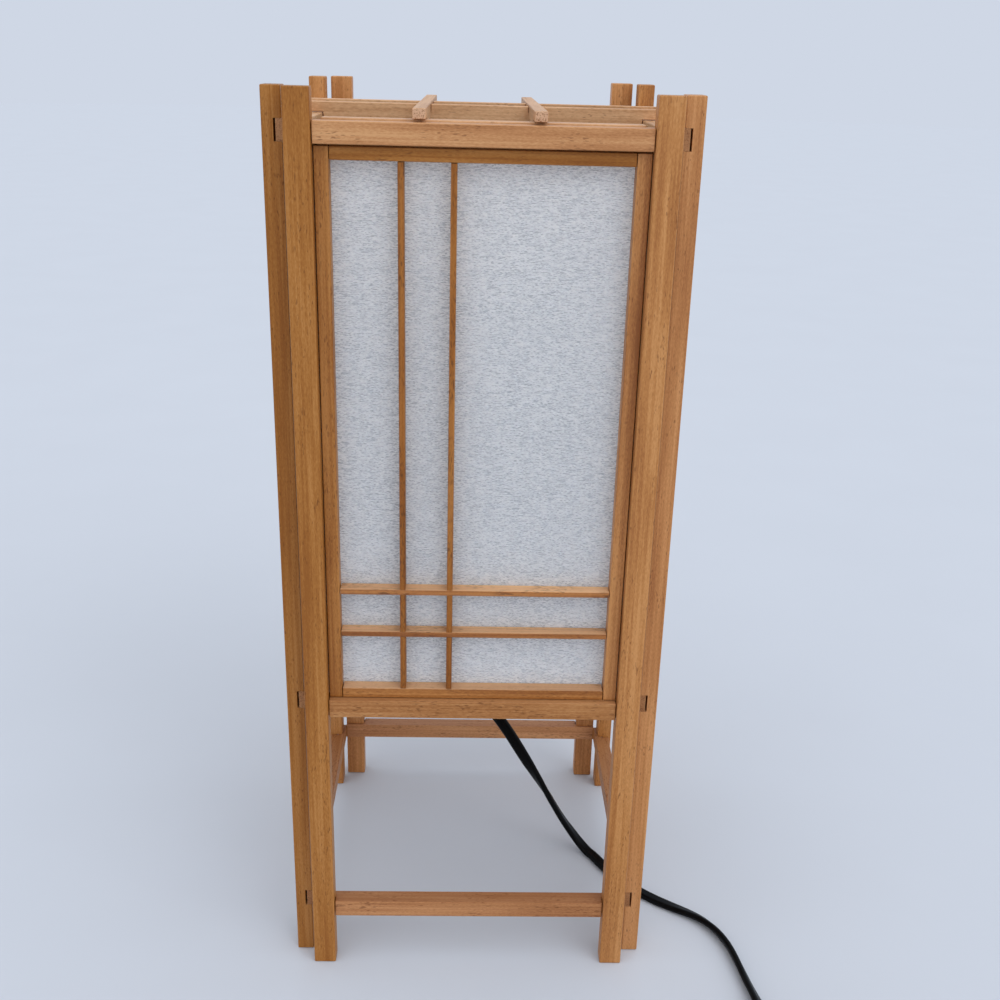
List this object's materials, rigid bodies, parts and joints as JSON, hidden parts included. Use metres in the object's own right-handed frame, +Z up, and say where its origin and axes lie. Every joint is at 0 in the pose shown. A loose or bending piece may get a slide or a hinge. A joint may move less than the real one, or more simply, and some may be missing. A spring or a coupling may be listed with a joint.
{
  "type": "table lamp",
  "caption": "Square shoji table lamp: wooden post-and-rail frames with paper panels, a loose slatted top, a bulb on a cross bar and a flat mains lead.",
  "frame": {"origin": "centre of the lamp's footprint on the table", "axes": "+Z up, -Y towards the side seen in front, +X to its right"},
  "size_m": [0.2505, 0.3448, 0.432],
  "materials": {
    "frame_wood": "satin",
    "panel_wood": "satin",
    "grille_wood": "satin",
    "paper": "matte fibrous paper",
    "holder_plastic": "matte",
    "bulb_metal": "plain",
    "bulb_opal": "opal, half matte",
    "lead_plastic": "gloss",
    "tie_plastic": "matte",
    "switch_plastic": "satin"
  },
  "bodies": {
    "lamp": {"post_front_left": "frame_wood", "post_front_right": "frame_wood", "stretcher_front": "frame_wood", "lower_rail_front": "frame_wood", "upper_rail_front": "frame_wood", "post_right_left": "frame_wood", "post_right_right": "frame_wood", "stretcher_right": "frame_wood", "lower_rail_right": "frame_wood", "upper_rail_right": "frame_wood", "post_back_left": "frame_wood", "post_back_right": "frame_wood", "stretcher_back": "frame_wood", "lower_rail_back": "frame_wood", "upper_rail_back": "frame_wood", "post_left_left": "frame_wood", "post_left_right": "frame_wood", "stretcher_left": "frame_wood", "lower_rail_left": "frame_wood", "upper_rail_left": "frame_wood", "panel_front_stile_left": "panel_wood", "panel_front_stile_right": "panel_wood", "panel_front_top_rail": "panel_wood", "panel_front_bottom_rail": "panel_wood", "panel_front_kumiko": "panel_wood", "panel_right_stile_left": "panel_wood", "panel_right_stile_right": "panel_wood", "panel_right_top_rail": "panel_wood", "panel_right_bottom_rail": "panel_wood", "panel_right_kumiko": "panel_wood", "panel_back_stile_left": "panel_wood", "panel_back_stile_right": "panel_wood", "panel_back_top_rail": "panel_wood", "panel_back_bottom_rail": "panel_wood", "panel_back_kumiko": "panel_wood", "panel_left_stile_left": "panel_wood", "panel_left_stile_right": "panel_wood", "panel_left_top_rail": "panel_wood", "panel_left_bottom_rail": "panel_wood", "panel_left_kumiko": "panel_wood", "panel_front_paper": "paper", "panel_right_paper": "paper", "panel_back_paper": "paper", "panel_left_paper": "paper", "lamp_bar": "frame_wood", "holder_body": "holder_plastic", "strain_relief": "lead_plastic", "cord_lead": "lead_plastic", "cord_tail": "lead_plastic", "cord_coil": "lead_plastic", "coil_tie": "tie_plastic", "plug_body": "lead_plastic", "switch_body": "switch_plastic"},
    "grille": {"grille_bar_front": "grille_wood", "grille_bar_back": "grille_wood", "grille_strip_left": "grille_wood", "grille_strip_right": "grille_wood"},
    "bulb": {"bulb_cap": "bulb_metal", "bulb_glass": "bulb_opal"},
    "rocker": {"switch_rocker": "switch_plastic"}
  },
  "joints": [
    {"name": "grille_lift", "type": "slide", "parent": "lamp", "child": "grille", "axis": [0, 0, 1], "range_m": [0, 0.08]},
    {"name": "bulb_turn", "type": "hinge", "parent": "lamp", "child": "bulb", "pos_m": [0, 0, 0.2], "axis": [0, 0, 1], "continuous": true},
    {"name": "switch_rock", "type": "hinge", "parent": "lamp", "child": "rocker", "pos_m": [0.1475, -0.175, 0.01625], "axis": [1, 0, 0], "range_deg": [-14, 0]}
  ]
}
